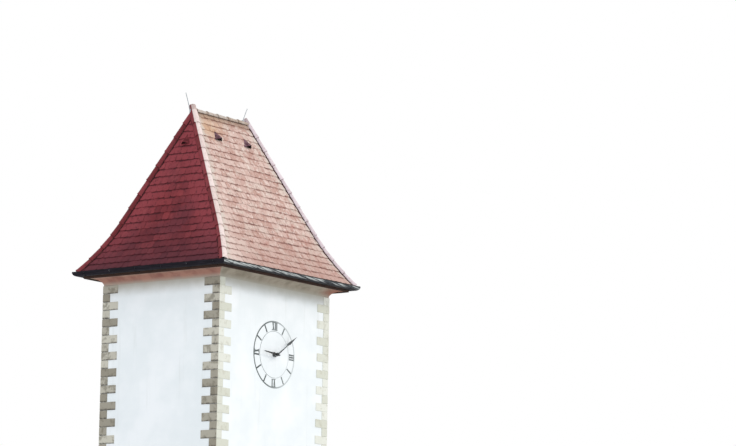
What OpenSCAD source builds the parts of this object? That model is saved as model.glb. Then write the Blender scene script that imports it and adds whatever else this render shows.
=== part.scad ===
// Clock tower of rendered masonry with a steep flared hip roof
// Z is up, the ground is Z = 0 and the clock looks along -Y

/* [Shaft] */
// Width of the shaft across the clock side
shaft_w = 4260; // [3900:10:4800]
// Depth of the shaft
shaft_d = 3500; // [3200:10:4000]
// Thickness of the masonry walls
wall_t = 550; // [400:10:700]
// Height of the gutter rims over the ground
rim_z = 12000; // [9000:50:14000]

/* [Quoins] */
// Length of a long corner stone
quoin_long = 450; // [350:5:550]
// Length of a short corner stone
quoin_short = 200; // [150:5:300]
// Height of one course of corner stones
quoin_course = 198; // [150:1:250]
// How far the corner stones stand out of the render
quoin_proud = 14; // [8:1:25]

/* [Eaves] */
// How far the lowest tiles reach out past the shaft
eaves_out = 460; // [440:5:500]
// How far the cove leans out at its top
cove_out = 320; // [280:5:340]
// Height of the curved part of the cove
cove_h = 185; // [140:5:230]
// Depth of the board behind the gutter
fascia_h = 145; // [110:5:180]
// How far that board hangs below the cove
fascia_drop = 30; // [10:5:50]
// Thickness of that board
fascia_t = 25; // [18:1:35]

/* [Gutters] */
// Outer radius of the half-round gutters
gutter_r = 98; // [80:1:100]
// Sheet thickness of the gutters
gutter_t = 4; // [3:0.5:6]
// Radius of the rolled rim
bead_r = 10; // [8:0.5:14]
// Width of a gutter bracket
bracket_w = 30; // [20:1:40]
// Thickness of a gutter bracket
bracket_t = 5; // [4:0.5:8]
// Number of brackets on each length of gutter
brackets = 6; // [4:1:8]

/* [Roof] */
// Height of the ridge over the gutter rims
roof_h = 3960; // [3600:10:4600]
// Length of the ridge
ridge_len = 2160; // [1700:20:2500]
// Thickness of the roof, measured level
roof_t = 140; // [120:5:180]
// Height over the rims at which the slopes start to flare
flare_h = 1210; // [900:10:1500]
// How far the flare kicks out the front and back slopes
flare_front = 117; // [60:1:160]
// How far the flare kicks out the two end slopes
flare_end = 298; // [200:1:360]

/* [Ridge and hip tiles] */
// Radius of a cap tile at its lower end
cap_r = 100; // [85:1:120]
// Radius lost toward its upper end
cap_taper = 14; // [8:1:20]
// Length of a cap tile that shows
cap_gauge = 420; // [360:5:480]
// How deep the caps sit over the hips
cap_sink = 42; // [20:1:55]
// How far the top caps of the hips stand up past the ridge
cap_rise = 80; // [40:5:110]

/* [Vent tiles] */
// Width of a vent hood
vent_w = 305; // [240:5:340]
// Length of a vent hood up the slope
vent_l = 290; // [240:5:340]
// How far the hood stands out of the slope
vent_out = 138; // [110:2:160]
// Sheet thickness of the hood
vent_t = 12; // [8:1:16]
// Depth of the vents of a long slope below the ridge
vent_drop = 690; // [600:5:900]
// Depth of the vent of an end slope below the ridge
vent_drop_end = 860; // [750:5:1050]
// Distance between the two vents of a long slope
vent_gap = 1150; // [900:10:1300]

/* [Lightning rods] */
// Diameter of a rod
rod_d = 16; // [10:1:24]
// Length of the rod at the left end of the ridge
rod_left_len = 475; // [400:5:600]
// Length of the rod at the right end of the ridge
rod_right_len = 385; // [300:5:500]

/* [Dial] */
// Height of the dial's centre below the gutter rims
dial_drop = 1910; // [1500:10:2200]
// Outer radius of the dial
dial_r = 800; // [700:5:900]
// Width of the outer ring
ring_w = 32; // [20:1:45]
// Radius of the fine inner ring
inner_ring_r = 560; // [500:5:600]
// Width of the fine inner ring
inner_ring_w = 10; // [6:1:16]
// Height of the numerals and bars
numeral_h = 190; // [140:2:195]
// Width of the heavy strokes and of the bars
stroke_w = 36; // [24:1:40]
// How far the rings and marks stand out of the render
dial_t = 3; // [2:0.5:6]

/* [Hands] */
// Length of the minute hand from its pivot
minute_len = 870; // [760:5:900]
// Length of the hour hand from its pivot
hour_len = 515; // [420:5:560]
// Sheet thickness of the hands
hand_t = 6; // [4:0.5:10]
// Minutes past the hour that the clock shows
minutes = 9.3; // [0:0.1:59]
// Hour that the clock shows
hours = 9; // [0:1:11]
// Distance of the hour hand from the render
hour_off = 90; // [60:1:110]
// Gap between the two hands
hand_gap = 20; // [10:1:40]
// Radius of the minute hand's arbor
arbor_r = 14; // [10:0.5:18]
// Wall thickness of the pipe that carries the hour hand
pipe_t = 8; // [6:0.5:12]
// Wall thickness of the sleeve through the masonry
sleeve_t = 12; // [8:0.5:18]

/* [Hidden] */
// Running clearance on the arbor and on the pipe
run_fit = 0.05;
// Clearance of the sleeve in its hole
seat_fit = 0.3;
half_w0 = shaft_w / 2;
half_d0 = shaft_d / 2;
ridge_half = ridge_len / 2;
dial_z = rim_z - dial_drop;
// Level at which the cove leaves the wall and the quoins end
cove_z = rim_z - fascia_h + fascia_drop - cove_h;
cove_steps = 14;
flare_steps = 6;
// Heights over the rims at which the roof surface bends
levels = concat([for (i = [0 : flare_steps]) flare_h * i / flare_steps], [roof_h]);
front_run = half_d0 + eaves_out - flare_front;
end_run = half_w0 + eaves_out - flare_end - ridge_half;
// Gap between a gutter and the plate of its bracket
plate_gap = 2;
gutter_u = cove_out + fascia_t + bracket_t + plate_gap + 2 * seat_fit + gutter_r;
pipe_r = arbor_r + run_fit + pipe_t;
sleeve_r = pipe_r + run_fit + sleeve_t;
minute_off = hour_off + hand_t + hand_gap;
hub_r = 42;
tail_r = 20;
flange_r = 62;
flange_t = 14;
nut_r = 24;
nut_t = 12;
collar_t = 14;
collar_r = pipe_r + 16;
pipe_back = 40;
arbor_back = 90;
minute_angle = minutes * 6;
hour_angle = hours * 30 + minutes / 2;
bracket_end = 260;
foot_r = 26;
// Joint under a vent hood
bed_fit = 0.05;

render_white = [0.93, 0.95, 0.96];
stone_grey = [0.66, 0.63, 0.56];
cove_brown = [0.58, 0.45, 0.36];
tile_red = [0.62, 0.27, 0.25];
cap_pink = [0.85, 0.74, 0.72];
zinc = [0.55, 0.58, 0.6];
dial_grey = [0.27, 0.29, 0.31];

// Half depth and half width of the roof at a height over the rims
function flare(kick, z) = z < flare_h ? kick * pow((flare_h - z) / flare_h, 2) : 0;
function half_d(z) = front_run * (roof_h - z) / roof_h + flare(flare_front, z);
function half_w(z) = ridge_half + end_run * (roof_h - z) / roof_h + flare(flare_end, z);
// Height over the rims at which the inside of a slope stands over a given line
function under_front(d) = lookup(d + roof_t, [for (z = levels) [half_d(z), z]]);
function under_end(w) = lookup(w + roof_t, [for (z = levels) [half_w(z), z]]);
// Height at which the insides of the two long slopes meet
inner_top = under_front(0);
function unit(v) = v / norm(v);

// Outline in X or Y and Z, drawn out along the other level axis
module along_x(length) {
    rotate([90, 0, 90]) linear_extrude(length, center = true) children();
}
module along_y(length) {
    rotate([90, 0, 0]) linear_extrude(length, center = true) children();
}

// One side of a ring round the shaft, mitred at both ends
// Its outline has the distance from the wall as x and the height as y
module ring_side(turn, reach, along, out) {
    rotate([0, 0, turn]) intersection() {
        translate([reach, 0, 0]) along_y(2 * (along + out)) children();
        linear_extrude(rim_z + roof_h)
            polygon([[reach, -along], [reach + out, -along - out],
                [reach + out, along + out], [reach, along]]);
    }
}
module ring_front(out) { ring_side(-90, half_d0, half_w0, out) children(); }
module ring_back(out) { ring_side(90, half_d0, half_w0, out) children(); }
module ring_right(out) { ring_side(0, half_w0, half_d0, out) children(); }
module ring_left(out) { ring_side(180, half_w0, half_d0, out) children(); }

// What lies under the two end slopes, down to the ground
module under_ends() {
    polygon(concat([[half_w(0) - roof_t, 0]], [for (z = levels) [half_w(z) - roof_t, rim_z + z]],
        [for (i = [flare_steps + 1 : -1 : 0]) [roof_t - half_w(levels[i]), rim_z + levels[i]]],
        [[roof_t - half_w(0), 0]]));
}

// Walls: the long pair runs from corner to corner, the short pair stands between
module long_wall() {
    intersection() {
        translate([-half_w0, -half_d0, 0]) cube([shaft_w, wall_t, rim_z + under_front(half_d0)]);
        along_y(shaft_d) under_ends();
    }
}
module short_wall() {
    translate([half_w0 - wall_t, wall_t - half_d0, 0])
        cube([wall_t, shaft_d - 2 * wall_t, rim_z + under_end(half_w0)]);
}
module front_wall() {
    color(render_white) difference() {
        long_wall();
        translate([0, -half_d0 - 1, dial_z]) rotate([-90, 0, 0])
            cylinder(h = wall_t + 2, r = sleeve_r + seat_fit, $fn = 48);
    }
}
module back_wall() { color(render_white) mirror([0, 1, 0]) long_wall(); }
module right_wall() { color(render_white) short_wall(); }
module left_wall() { color(render_white) mirror([1, 0, 0]) short_wall(); }

// Quoins: stones that turn the corner on a strip of their short length, long and short by turns
module quoin_stone(front_len, side_len, height) {
    difference() {
        translate([-quoin_proud, -quoin_proud, 0])
            cube([front_len + quoin_proud, side_len + quoin_proud, height]);
        translate([0, 0, -1]) cube([front_len + 1, side_len + 1, height + 2]);
    }
}
module quoin_stack() {
    courses = floor(cove_z / quoin_course);
    height = cove_z / courses;
    color(stone_grey) translate([-half_w0, -half_d0, 0]) {
        quoin_stone(quoin_short, quoin_short, cove_z);
        for (i = [0 : courses - 1]) {
            long_front = (courses - i) % 2 == 0;
            translate([0, 0, i * height])
                quoin_stone(long_front ? quoin_long : quoin_short,
                    long_front ? quoin_short : quoin_long, height);
        }
    }
}
module quoins_front_left() { quoin_stack(); }
module quoins_front_right() { mirror([1, 0, 0]) quoin_stack(); }
module quoins_back_left() { mirror([0, 1, 0]) quoin_stack(); }
module quoins_back_right() { mirror([1, 0, 0]) mirror([0, 1, 0]) quoin_stack(); }

// Cove: a hollow curve from the wall out to the back of the fascia
module cove_outline() {
    curve = [for (i = [0 : cove_steps]) let (a = 90 * i / cove_steps)
        [cove_out * (1 - cos(a)), cove_z + cove_h * sin(a)]];
    polygon(concat(curve, [[cove_out, rim_z], [0, rim_z]]));
}
module front_cove() { color(render_white) ring_front(cove_out) cove_outline(); }
module back_cove() { color(render_white) ring_back(cove_out) cove_outline(); }
module left_cove() { color(render_white) ring_left(cove_out) cove_outline(); }
module right_cove() { color(render_white) ring_right(cove_out) cove_outline(); }

// Fascia: the board that closes the eaves behind the gutter
module fascia_outline() {
    translate([cove_out, rim_z - fascia_h]) square([fascia_t, fascia_h]);
}
module front_fascia() { color(cove_brown) ring_front(cove_out + fascia_t) fascia_outline(); }
module back_fascia() { color(cove_brown) ring_back(cove_out + fascia_t) fascia_outline(); }
module left_fascia() { color(cove_brown) ring_left(cove_out + fascia_t) fascia_outline(); }
module right_fascia() { color(cove_brown) ring_right(cove_out + fascia_t) fascia_outline(); }

// Roof: each slope is its own shell, the end slopes fit between the long ones
module front_shell_outline() {
    polygon(concat([for (z = levels) [-half_d(z), rim_z + z]],
        [[0, rim_z + inner_top]],
        [for (i = [flare_steps : -1 : 0]) [roof_t - half_d(levels[i]), rim_z + levels[i]]]));
}
module end_shell_outline() {
    polygon(concat([for (z = levels) [half_w(z), rim_z + z]],
        [for (i = [flare_steps + 1 : -1 : 0]) [half_w(levels[i]) - roof_t, rim_z + levels[i]]]));
}
module end_view() {
    polygon(concat([for (z = levels) [half_w(z), rim_z + z]],
        [for (i = [flare_steps + 1 : -1 : 0]) [-half_w(levels[i]), rim_z + levels[i]]]));
}
module side_view() {
    polygon(concat([for (z = levels) [half_d(z), rim_z + z]],
        [for (i = [flare_steps : -1 : 0]) [-half_d(levels[i]), rim_z + levels[i]]]));
}
module inside_view() {
    polygon(concat([for (i = [0 : flare_steps]) [half_d(levels[i]) - roof_t, rim_z + levels[i]]],
        [[0, rim_z + inner_top]],
        [for (i = [flare_steps : -1 : 0]) [roof_t - half_d(levels[i]), rim_z + levels[i]]]));
}
module long_slope() {
    color(tile_red) intersection() {
        along_x(2 * half_w(0) + 2) front_shell_outline();
        along_y(2 * half_d(0) + 2) end_view();
    }
}
module end_slope() {
    color(tile_red) intersection() {
        along_y(2 * half_d(0) + 2) end_shell_outline();
        along_x(2 * half_w(0) + 2) inside_view();
    }
}
module front_roof_slope() { long_slope(); }
module back_roof_slope() { mirror([0, 1, 0]) long_slope(); }
module right_roof_slope() { end_slope(); }
module left_roof_slope() { mirror([1, 0, 0]) end_slope(); }
module roof_mass() {
    intersection() {
        along_x(2 * half_w(0) + 400) side_view();
        along_y(2 * half_d(0) + 400) end_view();
    }
}

// Caps: tapered half-round tiles, each lapping the one below, bedded on the roof
front_normal = unit([0, -roof_h, front_run]);
end_normal = unit([-roof_h, 0, end_run]);
hip_normal = unit(front_normal + end_normal);
function hip_axis(z) = [-half_w(z), -half_d(z), rim_z + z] - cap_sink * hip_normal;
// A row of caps turned about the Z axis, the first at the bottom
module cap_row(count, gauge, rise) {
    steps = [for (i = [0 : count - 1]) each
        [[cap_r, i * gauge], [cap_r - cap_taper, (i + 1) * gauge]]];
    rotate_extrude($fn = 48) polygon(concat([[0, 0]], steps,
        rise > 0 ? [[cap_r - cap_taper, count * gauge + rise]] : [],
        [[0, count * gauge + rise]]));
}
// Lays a row of caps from one point to another
module caps_between(low, high, count, rise) {
    run = high - low;
    length = norm(run);
    translate(low) rotate([0, acos(run[2] / length), atan2(run[1], run[0])])
        cap_row(count, length / count, rise);
}
flare_caps = ceil(norm(hip_axis(flare_h) - hip_axis(0)) / cap_gauge);
hip_caps = round(norm(hip_axis(roof_h) - hip_axis(flare_h)) / cap_gauge);
module hip_run() {
    color(cap_pink) difference() {
        intersection() {
            union() {
                caps_between(hip_axis(flare_h), hip_axis(roof_h), hip_caps, cap_rise);
                for (i = [0 : flare_caps - 1])
                    caps_between(hip_axis(flare_h * i / flare_caps),
                        hip_axis(flare_h * (i + 1) / flare_caps), 1, 12);
            }
            translate([-2 * half_w0 - ridge_half + cap_rise, -2 * half_d0, rim_z])
                cube([2 * half_w0, 2 * half_d0, 2 * roof_h]);
        }
        roof_mass();
    }
}
module hip_caps_front_left() { hip_run(); }
module hip_caps_front_right() { mirror([1, 0, 0]) hip_run(); }
module hip_caps_back_left() { mirror([0, 1, 0]) hip_run(); }
module hip_caps_back_right() { mirror([1, 0, 0]) mirror([0, 1, 0]) hip_run(); }
ridge_axis_z = rim_z + roof_h - cap_sink;
ridge_run = ridge_len - 2 * cap_rise;
ridge_count = round(ridge_run / cap_gauge);
ridge_gauge = ridge_run / ridge_count;
module ridge_caps() {
    color(cap_pink) difference() {
        translate([-ridge_run / 2, 0, ridge_axis_z]) rotate([0, 90, 0])
            cap_row(ridge_count, ridge_gauge, 0);
        roof_mass();
    }
}

// Gutters: half-round channels with a rolled rim, mitred at the corners
module gutter_outline() {
    translate([gutter_u, rim_z]) {
        difference() {
            circle(r = gutter_r, $fn = 64);
            circle(r = gutter_r - gutter_t, $fn = 64);
            translate([-2 * gutter_r, 0]) square([4 * gutter_r, 2 * gutter_r]);
        }
        translate([gutter_r - bead_r, 0]) circle(r = bead_r, $fn = 24);
    }
}
gutter_out = gutter_u + gutter_r + bead_r;
module front_gutter() { color(zinc) ring_front(gutter_out) gutter_outline(); }
module back_gutter() { color(zinc) ring_back(gutter_out) gutter_outline(); }
module left_gutter() { color(zinc) ring_left(gutter_out) gutter_outline(); }
module right_gutter() { color(zinc) ring_right(gutter_out) gutter_outline(); }

// Brackets: straps under the gutters, held by a plate on the fascia
module bracket_outline() {
    inner = gutter_r + seat_fit;
    translate([gutter_u, rim_z]) difference() {
        union() {
            circle(r = inner + bracket_t, $fn = 64);
            translate([-inner - bracket_t - plate_gap, -gutter_r])
                square([bracket_t + plate_gap, gutter_r]);
        }
        circle(r = inner, $fn = 64);
        translate([-2 * gutter_r, -bead_r - plate_gap]) square([4 * gutter_r, 2 * gutter_r]);
    }
}
module bracket_row(turn, reach, along) {
    span = along - bracket_end;
    for (i = [0 : brackets - 1])
        rotate([0, 0, turn]) translate([reach, -span + 2 * span * i / (brackets - 1), 0])
            along_y(bracket_w) bracket_outline();
}
module gutter_brackets() {
    color(zinc) {
        bracket_row(-90, half_d0, half_w0 + gutter_u);
        bracket_row(90, half_d0, half_w0 + gutter_u);
        bracket_row(0, half_w0, half_d0 + gutter_u);
        bracket_row(180, half_w0, half_d0 + gutter_u);
    }
}

// Vents: small tent-shaped hoods that open down the slope
module tent(w, l, h, lip) {
    polyhedron(
        points = [[0, l, 0], [-w / 2, 0, 0], [w / 2, 0, 0], [0, -lip, h]],
        faces = [[0, 1, 2], [0, 3, 1], [0, 2, 3], [1, 3, 2]]);
}
module vent() {
    color(tile_red) translate([0, 0, bed_fit]) difference() {
        tent(vent_w, vent_l, vent_out, vent_t);
        translate([0, -2 * vent_t, -vent_t])
            tent(vent_w, vent_l, vent_out, vent_t);
    }
}
module on_long_slope(x, z) {
    translate([x, -half_d(z), rim_z + z]) rotate([atan2(roof_h, front_run), 0, 0]) children();
}
module on_end_slope(z) {
    translate([half_w(z), 0, rim_z + z]) rotate([0, 0, 90])
        rotate([atan2(roof_h, end_run), 0, 0]) children();
}
module front_vents() {
    on_long_slope(-vent_gap / 2, roof_h - vent_drop) vent();
    on_long_slope(vent_gap / 2, roof_h - vent_drop) vent();
}
module back_vents() { mirror([0, 1, 0]) front_vents(); }
module right_vent() { on_end_slope(roof_h - vent_drop_end) vent(); }
module left_vent() { mirror([1, 0, 0]) right_vent(); }

// Lightning rods: each leans outward from a socket that is bedded on a cap tile
module rod(length, lean, bed, socket) {
    color(zinc) {
        translate([0, 0, -bed]) cylinder(h = bed + socket, r = foot_r, $fn = 32);
        rotate([0, lean, 0]) cylinder(h = length, d = rod_d, $fn = 24);
    }
}
cap_end = cap_r - cap_taper;
rod_left_drop = 60;
rod_right_in = 250;
module lightning_rod_left() {
    difference() {
        mirror([0, 1, 0]) translate(hip_axis(roof_h - rod_left_drop) + cap_end * hip_normal)
            rod(rod_left_len, -24, 45, 60);
        hip_caps_back_left();
        roof_mass();
    }
}
module lightning_rod_right() {
    difference() {
        translate([ridge_half - rod_right_in, 0, ridge_axis_z + cap_end]) rod(rod_right_len, 27, 25, 25);
        ridge_caps();
    }
}

// Dial: rings and marks that stand a little out of the render
module on_dial(off) {
    translate([0, -half_d0 - off, dial_z]) rotate([90, 0, 0]) children();
}
module ring(outer, width) {
    linear_extrude(dial_t) difference() {
        circle(r = outer, $fn = 128);
        circle(r = outer - width, $fn = 128);
    }
}
module dial_outer_ring() { color(dial_grey) on_dial(0) ring(dial_r, ring_w); }
module dial_inner_ring() { color(dial_grey) on_dial(0) ring(inner_ring_r, inner_ring_w); }

// Numerals stand at the quarters, plain bars at the other hours
marks = ["XII", "", "", "III", "", "", "VI", "", "", "IX", "", ""];
serif_h = numeral_h / 14;
thin_w = stroke_w / 3;
function glyph_w(c) = c == "I" ? stroke_w * 1.5 : stroke_w * 3;
function width_to(s, n) = n == 0 ? 0 : glyph_w(s[n - 1]) + width_to(s, n - 1);
// A slanting stroke of given width between two heights
module slant(x0, x1, w) {
    polygon([[x0 - w / 2, 0], [x0 + w / 2, 0], [x1 + w / 2, numeral_h], [x1 - w / 2, numeral_h]]);
}
module glyph(c) {
    w = glyph_w(c);
    edge = stroke_w * 0.8;
    if (c == "I") slant(w / 2, w / 2, stroke_w);
    if (c == "V") {
        slant(w / 2, edge, stroke_w);
        slant(w / 2, w - edge, thin_w);
    }
    if (c == "X") {
        slant(w - edge, edge, stroke_w);
        slant(edge, w - edge, thin_w);
    }
    square([w, serif_h]);
    translate([0, numeral_h - serif_h]) square([w, serif_h]);
}
module numeral(s) {
    total = width_to(s, len(s));
    for (i = [0 : len(s) - 1])
        translate([width_to(s, i) - total / 2, 0]) glyph(s[i]);
}
mark_foot = dial_r - ring_w - numeral_h;
module mark(s) {
    if (s == "") translate([-stroke_w / 2, 0]) square([stroke_w, numeral_h + ring_w]);
    if (s != "") numeral(s);
}
module dial_marks() {
    color(dial_grey) on_dial(0) intersection() {
        linear_extrude(dial_t) for (i = [0 : 11])
            rotate([0, 0, -30 * i]) translate([0, mark_foot]) mark(marks[i]);
        cylinder(h = dial_t, r = dial_r - ring_w, $fn = 128);
    }
}

// Sleeve: the flanged tube that carries the hands' shafts through the wall
module arbor_sleeve() {
    color(zinc) difference() {
        union() {
            on_dial(-wall_t) cylinder(h = wall_t + flange_t, r = sleeve_r, $fn = 48);
            on_dial(0) cylinder(h = flange_t, r = flange_r, $fn = 48);
        }
        on_dial(-wall_t - 1) cylinder(h = wall_t + flange_t + 2, r = pipe_r + run_fit, $fn = 48);
    }
}

// Hands: flat blades on a round hub, the hour hand on a pipe round the arbor
module hand_hole(r) {
    translate([0, 0, -1]) cylinder(h = hand_t + 2, r = r, $fn = 48);
}
// Hub and round tail that both hands share
module hand_root(root, tail) {
    cylinder(h = hand_t, r = hub_r, $fn = 48);
    translate([-root / 2, -tail, 0]) cube([root, tail, hand_t]);
    translate([0, -tail, 0]) cylinder(h = hand_t, r = tail_r, $fn = 32);
}
// Straight taper
module hour_blade() {
    root = 26;
    tip = 12;
    hand_root(root, 95);
    linear_extrude(hand_t)
        polygon([[-root, 0], [root, 0], [tip, hour_len - 60], [0, hour_len], [-tip, hour_len - 60]]);
}
// Slim shaft with a leaf near the end
module minute_blade() {
    root = 18;
    slim = 9;
    leaf = 34;
    leaf_low = minute_len * 0.50;
    leaf_mid = minute_len * 0.64;
    hand_root(root, 105);
    linear_extrude(hand_t) polygon([[-root, 0], [root, 0], [slim, leaf_low], [leaf, leaf_mid],
        [slim, minute_len - 90], [0, minute_len], [-slim, minute_len - 90], [-leaf, leaf_mid],
        [-slim, leaf_low]]);
}
module hour_hand() {
    color(dial_grey) on_dial(hour_off) rotate([0, 0, -hour_angle]) difference() {
        union() hour_blade();
        hand_hole(pipe_r + run_fit);
    }
}
module hour_pipe() {
    length = wall_t + pipe_back + hour_off + hand_t;
    color(zinc) difference() {
        union() {
            on_dial(-wall_t - pipe_back) cylinder(h = length, r = pipe_r, $fn = 48);
            on_dial(-wall_t - pipe_back) cylinder(h = collar_t, r = collar_r, $fn = 48);
        }
        on_dial(-wall_t - pipe_back - 1) cylinder(h = length + 2, r = arbor_r + run_fit, $fn = 48);
    }
}
module minute_hand() {
    color(dial_grey) on_dial(minute_off) rotate([0, 0, -minute_angle]) difference() {
        union() minute_blade();
        hand_hole(arbor_r + run_fit);
    }
}
module minute_arbor() {
    length = wall_t + arbor_back + minute_off + hand_t;
    color(zinc) {
        on_dial(-wall_t - arbor_back) cylinder(h = length, r = arbor_r, $fn = 48);
        on_dial(-wall_t - arbor_back) cylinder(h = collar_t, r = collar_r, $fn = 48);
    }
}
module hand_nut() {
    color(dial_grey) on_dial(minute_off + hand_t) cylinder(h = nut_t, r = nut_r, $fn = 48);
}

front_wall();
back_wall();
left_wall();
right_wall();
quoins_front_left();
quoins_front_right();
quoins_back_left();
quoins_back_right();
front_cove();
back_cove();
left_cove();
right_cove();
front_fascia();
back_fascia();
left_fascia();
right_fascia();
front_roof_slope();
back_roof_slope();
left_roof_slope();
right_roof_slope();
ridge_caps();
hip_caps_front_left();
hip_caps_front_right();
hip_caps_back_left();
hip_caps_back_right();
front_gutter();
back_gutter();
left_gutter();
right_gutter();
gutter_brackets();
front_vents();
back_vents();
left_vent();
right_vent();
lightning_rod_left();
lightning_rod_right();
dial_outer_ring();
dial_inner_ring();
dial_marks();
arbor_sleeve();
hour_pipe();
hour_hand();
minute_arbor();
minute_hand();
hand_nut();
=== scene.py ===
"""Clock tower: tiles, cap tiles, mortar, corner stones, render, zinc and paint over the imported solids."""
import math

import bpy
import numpy as np
from mathutils import Matrix, Vector


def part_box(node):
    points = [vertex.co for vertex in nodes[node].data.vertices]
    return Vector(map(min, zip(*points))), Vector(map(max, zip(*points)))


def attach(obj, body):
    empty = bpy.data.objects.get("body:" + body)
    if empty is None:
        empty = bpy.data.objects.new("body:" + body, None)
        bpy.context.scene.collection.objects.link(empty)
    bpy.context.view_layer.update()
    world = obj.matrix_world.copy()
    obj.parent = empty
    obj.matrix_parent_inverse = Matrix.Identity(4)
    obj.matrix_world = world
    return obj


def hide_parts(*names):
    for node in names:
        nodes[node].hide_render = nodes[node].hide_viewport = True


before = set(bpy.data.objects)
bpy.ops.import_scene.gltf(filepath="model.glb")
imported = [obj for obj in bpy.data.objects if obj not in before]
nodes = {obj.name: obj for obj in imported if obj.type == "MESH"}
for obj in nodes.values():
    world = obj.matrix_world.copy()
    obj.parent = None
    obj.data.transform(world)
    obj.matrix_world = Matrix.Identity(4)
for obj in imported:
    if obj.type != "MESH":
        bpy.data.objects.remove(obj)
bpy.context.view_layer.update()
rng = np.random.default_rng(7)

# Sizes of the solids in metres, read from the frame where a box gives them
HALF_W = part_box("front_wall")[1][0]
HALF_D = -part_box("front_wall")[0][1]
RIM_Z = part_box("front_fascia")[1][2]
COVE_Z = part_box("front_cove")[0][2]
ROOF_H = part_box("front_roof_slope")[1][2] - RIM_Z
EAVES_OUT = -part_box("front_roof_slope")[0][1] - HALF_D
RIDGE_HALF = 1.080
FLARE_H, FLARE_FRONT, FLARE_END = 1.210, 0.117, 0.298
FRONT_RUN = HALF_D + EAVES_OUT - FLARE_FRONT
END_RUN = HALF_W + EAVES_OUT - FLARE_END - RIDGE_HALF
CAP_R, CAP_TAPER, CAP_SINK = 0.100, 0.014, 0.042
HIP_CAPS_STEEP, HIP_CAPS_FLARE, RIDGE_CAPS = 8, 4, 5
QUOIN_LONG, QUOIN_SHORT, QUOIN_PROUD, QUOIN_COURSES = 0.450, 0.200, 0.014, 59
VENT_W, VENT_L, VENT_OUT, VENT_T = 0.305, 0.290, 0.138, 0.012
VENT_DROP, VENT_DROP_END, VENT_GAP = 0.690, 0.860, 1.150
# The way the painted light comes from: surfaces that face it are painted as lit, those that face away
# painted in shade
PAINTED_LIGHT_FROM = (0.944, -0.330, 0.0)

# Clay roof tiles: their size, the courses' gauge, and how they bed and lean on each other
TILE_W, TILE_L, TILE_T = 0.190, 0.262, 0.014
FRONT_GAUGE, END_GAUGE = 0.189, 0.194
EAVE_BACK = 0.020
TILE_ARC, TILE_BED, TILE_LEAN = 0.016, -0.014, 0.020
TILE_GAP, TILE_CAMBER = 0.0024, 0.002
# Where the arc of a tile's foot starts, and the rows of points along a tile from its head to its foot
ARC_FROM = 0.80
TILE_ROWS = np.array([0.0, 0.42, ARC_FROM, 1.0])
# How far the tiles stop short of the hip and of the ridge, and the least that shows of the top course
HIP_CUT, RIDGE_CUT, LEAST_SHOWN = 0.012, 0.004, 0.020
# How unevenly the tiles are laid: sideways, down the slope, out of it, and askew
TILE_SIDEWAYS, TILE_DOWN, TILE_OUT, TILE_ASKEW = 0.0012, 0.0045, 0.0022, 0.0020
PROFILE_STEPS = 600

# Cap tiles: their thickness and lap, how unevenly they are laid, and the degrees that they reach round on
# each side of the crown
CAP_T, CAP_LAP, CAP_UNEVEN, CAP_ANGLE = 0.013, 0.035, 0.002, 103
# The lip at a cap's foot: places along the cap as shares of its length, and how far it swells at each
LIP_AT = np.array([0.0, 0.012, 0.035, 0.07, 0.10, 0.55, 1.0])
LIP_SWELL = np.array([0.000, 0.006, 0.008, 0.005, 0.0, 0.0, 0.0])
# How far the top caps of the front and of the back hips run on past the ridge: the back ones end inside the
# front ones, and still carry the foot of the left rod
FRONT_RISE, BACK_RISE = 0.170, -0.035
# The ridge's row of caps, and how far inside the ends of the ridge it starts and stops
RIDGE_R, RIDGE_SINK, RIDGE_IN = 0.076, 0.018, 0.080

# Marks that tell the clay which copy it takes: deep slope red in painted shade, pale where it is painted as
# lit and bleached, rosy white painted as lit on the right hips, and cream on the ridge
RED, PALE, ROSY, CREAM = 0.0, 1.0, 1.4, 2.0
# Where the pale side of the near hip starts, painted as lit and bleached, measured round the cap from its
# crown, the same on its top cap, and the width over which the one fades into the other
PALE_FROM, TOP_PALE_FROM, PALE_BLUR = -0.028, -0.050, 0.030

# Mortar that beds the caps: its distance from the hip, half its width, its hump, how far it stands out of
# the slope and how deep it goes
MORTAR_OFF, MORTAR_HALF, MORTAR_RISE, MORTAR_OUT, MORTAR_DEEP = 0.108, 0.024, 0.026, 0.006, 0.010
# Where it stops below the ridge and above the rims, and its points in between
MORTAR_TOP, MORTAR_FOOT, MORTAR_STEPS = 0.10, 0.03, 90
# The waver of its edge: how far, the radians to a metre of height, and the range of its random start. Then
# how rough its edge and its top are
MORTAR_WAVE, MORTAR_TURN, MORTAR_SHIFT = 0.004, 37, 6
MORTAR_ROUGH_EDGE, MORTAR_ROUGH_TOP = 0.002, 0.0015
# Marks for the mortar's painted light: dark in the caps' painted shadow, red in painted shade, pale painted
# as lit
MORTAR_SHADOWED, MORTAR_SHADED, MORTAR_LIT = 0.0, 0.5, 1.0

# Vent throats: how far back and how thick they are, their play in the hood, their ripple, and how far up the
# triangle they go
THROAT_BACK, THROAT_T, THROAT_PLAY, THROAT_RIPPLE, THROAT_TOP = 0.005, 0.012, 0.002, 0.002, 0.97

# Corner stones: the spread of their lengths, half a joint, the width of the rounded edge, the share of their
# relief that is left at a joint, and how deep they sit
STONE_UNEVEN, STONE_JOINT, STONE_EDGE, STONE_DROP, STONE_DEEP = 0.006, 0.0025, 0.008, 0.50, 0.004

UP = np.array([0.0, 0.0, 1.0])


# Mesh making

def grid_faces(rows, cols):
    """Quads between neighbouring points of a rows by cols grid."""
    at = np.arange(rows * cols).reshape(rows, cols)
    return np.stack([at[:-1, :-1], at[:-1, 1:], at[1:, 1:], at[1:, :-1]], -1).reshape(-1, 4)


def rim_faces(rows, cols):
    """Quads that join the border of one grid to the border of a second grid stored after it."""
    at = np.arange(rows * cols).reshape(rows, cols)
    border = np.concatenate([at[0, :-1], at[:-1, -1], at[-1, :0:-1], at[:0:-1, 0]])
    after = np.roll(border, -1)
    below = rows * cols
    return np.stack([border, border + below, after + below, after], -1)


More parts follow.
